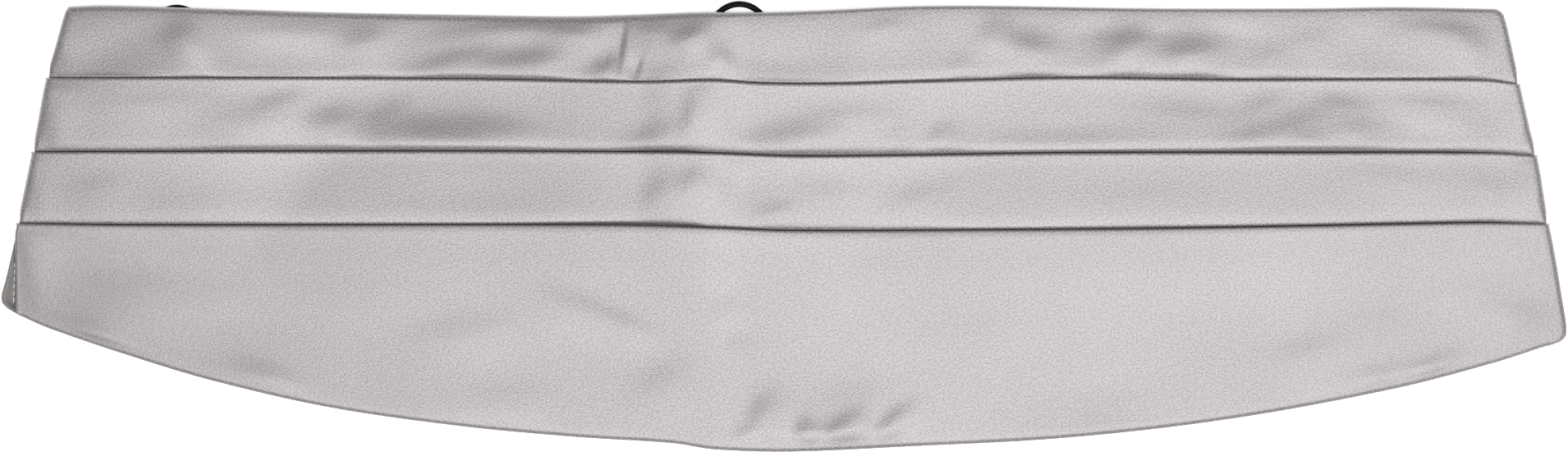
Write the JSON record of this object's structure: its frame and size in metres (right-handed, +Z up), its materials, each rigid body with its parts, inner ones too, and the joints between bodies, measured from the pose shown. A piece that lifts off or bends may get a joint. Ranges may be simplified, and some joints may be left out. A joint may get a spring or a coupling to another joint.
{
  "type": "cummerbund",
  "caption": "Pleated satin cummerbund laid flat with its front up: upward knife pleats, a deep plain lower band, a plain back and an elastic strap fastened beneath.",
  "frame": {"origin": "middle of the bounding box, on the surface that the cloth lies on", "axes": "+X along the band, to the right in the picture; +Y to the top edge of the front; +Z up, out of the pleated front"},
  "size_m": [0.5377, 0.1546, 0.0095],
  "materials": {
    "satin_front": "silver-grey twill-back satin, soft sheen",
    "satin_back": "plain grey satin",
    "black_elastic": "ribbed black woven elastic, matte",
    "black_metal": "matte black coated metal"
  },
  "bodies": {
    "root": {"front_panel": "satin_front", "back_panel": "satin_back", "strap_left": "black_elastic", "strap_right": "black_elastic", "slider": "black_metal", "ring": "black_metal", "hook": "black_metal"}
  },
  "joints": []
}
